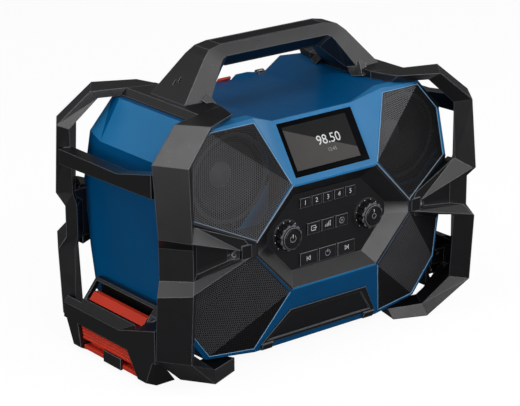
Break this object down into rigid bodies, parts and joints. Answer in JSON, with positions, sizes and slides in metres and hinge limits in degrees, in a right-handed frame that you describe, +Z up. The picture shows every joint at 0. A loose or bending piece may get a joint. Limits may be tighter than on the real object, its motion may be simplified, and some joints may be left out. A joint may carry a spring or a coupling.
{
  "type": "jobsite radio",
  "caption": "Rugged jobsite radio in a faceted roll cage, with a tilted display, recessed control panel, side click latches, carrying handle and rear battery bay.",
  "frame": {"origin": "centre of the footprint at floor level, under the middle of the overall box", "axes": "+X to the right seen from the front, +Y to the back, +Z up"},
  "size_m": [0.5, 0.289, 0.3885],
  "materials": {
    "cabinet_blue": "satin moulded plastic",
    "cage_black": "fine textured plastic",
    "grille_mesh": "perforated, matt black",
    "panel_black": "matt",
    "hood_black": "matt",
    "display_gloss": "gloss",
    "circuit_board": "matt",
    "key_grey": "satin",
    "knob_black": "satin",
    "speaker_cone": "matt paper",
    "speaker_frame": "cast",
    "latch_red": "satin",
    "rubber_black": "matt",
    "steel": "zinc plated",
    "chrome_rod": "polished",
    "door_blue": "satin moulded plastic",
    "battery_black": "satin"
  },
  "bodies": {
    "cabinet": {"front_bezel": "cabinet_blue", "main_shell": "cabinet_blue", "grille_upper_left": "grille_mesh", "grille_upper_right": "grille_mesh", "grille_lower_left": "grille_mesh", "grille_lower_right": "grille_mesh", "bass_hood": "hood_black", "display_window": "display_gloss", "display_module": "circuit_board", "control_panel": "panel_black", "keypad_board": "circuit_board", "encoder_bodies": "steel", "speaker_basket_left": "speaker_frame", "speaker_basket_right": "speaker_frame", "speaker_cone_left": "speaker_cone", "speaker_cone_right": "speaker_cone", "bass_driver": "speaker_frame", "hoop_front_left": "cage_black", "hoop_front_right": "cage_black", "hoop_rear_left": "cage_black", "hoop_rear_right": "cage_black", "rail_left": "cage_black", "rail_right": "cage_black", "low_bar_left": "cage_black", "low_bar_right": "cage_black", "feet": "rubber_black", "cage_screws": "steel", "handle": "cage_black", "grip_pad": "rubber_black", "latch_pins": "steel", "door_pin": "steel", "terminal_block": "panel_black", "aerial_mount": "cage_black"},
    "volume_shaft": {"knob_shaft_left": "steel"},
    "volume_knob": {"volume_knob": "knob_black"},
    "tuning_shaft": {"knob_shaft_right": "steel"},
    "tuning_knob": {"tuning_knob": "knob_black"},
    "left_latch": {"latch_left": "latch_red", "hook_left": "cage_black"},
    "right_latch": {"latch_right": "latch_red", "hook_right": "cage_black"},
    "door": {"battery_door": "door_blue"},
    "door_latch": {"door_latch": "latch_red"},
    "battery": {"battery_pack": "battery_black"},
    "aerial": {"aerial_tube": "chrome_rod"},
    "aerial_tip": {"aerial_rod": "chrome_rod"},
    "preset_key_1": {"preset_key_1": "key_grey"},
    "preset_key_2": {"preset_key_2": "key_grey"},
    "preset_key_3": {"preset_key_3": "key_grey"},
    "preset_key_4": {"preset_key_4": "key_grey"},
    "preset_key_5": {"preset_key_5": "key_grey"},
    "mid_key_left": {"mid_key_left": "key_grey"},
    "mid_key_centre": {"mid_key_centre": "key_grey"},
    "mid_key_right": {"mid_key_right": "key_grey"},
    "low_key_left": {"low_key_left": "key_grey"},
    "low_key_centre": {"low_key_centre": "key_grey"},
    "low_key_right": {"low_key_right": "key_grey"}
  },
  "joints": [
    {"name": "volume_push", "type": "slide", "parent": "cabinet", "child": "volume_shaft", "axis": [0, 1, 0], "range_m": [0, 0.0008], "stiffness_N_per_m": 600, "springref_m": -0.001},
    {"name": "tuning_push", "type": "slide", "parent": "cabinet", "child": "tuning_shaft", "axis": [0, 1, 0], "range_m": [0, 0.0008], "stiffness_N_per_m": 600, "springref_m": -0.001},
    {"name": "volume_turn", "type": "hinge", "parent": "volume_shaft", "child": "volume_knob", "pos_m": [-0.065, -0.125, 0.167], "axis": [0, 1, 0], "range_deg": [-150, 150]},
    {"name": "tuning_turn", "type": "hinge", "parent": "tuning_shaft", "child": "tuning_knob", "pos_m": [0.065, -0.125, 0.167], "axis": [0, 1, 0], "continuous": true},
    {"name": "preset_key_1_press", "type": "slide", "parent": "cabinet", "child": "preset_key_1", "axis": [0, 1, 0], "range_m": [0, 0.001], "stiffness_N_per_m": 400, "springref_m": -0.001},
    {"name": "preset_key_2_press", "type": "slide", "parent": "cabinet", "child": "preset_key_2", "axis": [0, 1, 0], "range_m": [0, 0.001], "stiffness_N_per_m": 400, "springref_m": -0.001},
    {"name": "preset_key_3_press", "type": "slide", "parent": "cabinet", "child": "preset_key_3", "axis": [0, 1, 0], "range_m": [0, 0.001], "stiffness_N_per_m": 400, "springref_m": -0.001},
    {"name": "preset_key_4_press", "type": "slide", "parent": "cabinet", "child": "preset_key_4", "axis": [0, 1, 0], "range_m": [0, 0.001], "stiffness_N_per_m": 400, "springref_m": -0.001},
    {"name": "preset_key_5_press", "type": "slide", "parent": "cabinet", "child": "preset_key_5", "axis": [0, 1, 0], "range_m": [0, 0.001], "stiffness_N_per_m": 400, "springref_m": -0.001},
    {"name": "mid_key_left_press", "type": "slide", "parent": "cabinet", "child": "mid_key_left", "axis": [0, 1, 0], "range_m": [0, 0.001], "stiffness_N_per_m": 400, "springref_m": -0.001},
    {"name": "mid_key_centre_press", "type": "slide", "parent": "cabinet", "child": "mid_key_centre", "axis": [0, 1, 0], "range_m": [0, 0.001], "stiffness_N_per_m": 400, "springref_m": -0.001},
    {"name": "mid_key_right_press", "type": "slide", "parent": "cabinet", "child": "mid_key_right", "axis": [0, 1, 0], "range_m": [0, 0.001], "stiffness_N_per_m": 400, "springref_m": -0.001},
    {"name": "low_key_left_press", "type": "slide", "parent": "cabinet", "child": "low_key_left", "axis": [0, 1, 0], "range_m": [0, 0.001], "stiffness_N_per_m": 400, "springref_m": -0.001},
    {"name": "low_key_centre_press", "type": "slide", "parent": "cabinet", "child": "low_key_centre", "axis": [0, 1, 0], "range_m": [0, 0.001], "stiffness_N_per_m": 400, "springref_m": -0.001},
    {"name": "low_key_right_press", "type": "slide", "parent": "cabinet", "child": "low_key_right", "axis": [0, 1, 0], "range_m": [0, 0.001], "stiffness_N_per_m": 400, "springref_m": -0.001},
    {"name": "right_latch_swing", "type": "hinge", "parent": "cabinet", "child": "right_latch", "pos_m": [0.232, 0, 0.06], "axis": [0, -1, 0], "range_deg": [0, 12], "stiffness_Nm_per_rad": 1.2, "springref_deg": -8.59},
    {"name": "left_latch_swing", "type": "hinge", "parent": "cabinet", "child": "left_latch", "pos_m": [-0.232, 0, 0.06], "axis": [0, 1, 0], "range_deg": [0, 12], "stiffness_Nm_per_rad": 1.2, "springref_deg": -8.59},
    {"name": "battery_door_swing", "type": "hinge", "parent": "cabinet", "child": "door", "pos_m": [0, 0.126, 0.096], "axis": [-1, 0, 0], "range_deg": [0, 95]},
    {"name": "door_latch_slide", "type": "slide", "parent": "door", "child": "door_latch", "axis": [0, 0.5463, -0.8376], "range_m": [0, 0.006]},
    {"name": "battery_slide", "type": "slide", "parent": "cabinet", "child": "battery", "axis": [0, 0, 1], "range_m": [0, 0.06]},
    {"name": "aerial_raise", "type": "hinge", "parent": "cabinet", "child": "aerial", "pos_m": [0.061, 0.09295, 0.30584], "axis": [1, 0, 0], "range_deg": [0, 146]},
    {"name": "aerial_extend", "type": "slide", "parent": "aerial", "child": "aerial_tip", "axis": [0, 0.5463, -0.8376], "range_m": [0, 0.054]}
  ]
}
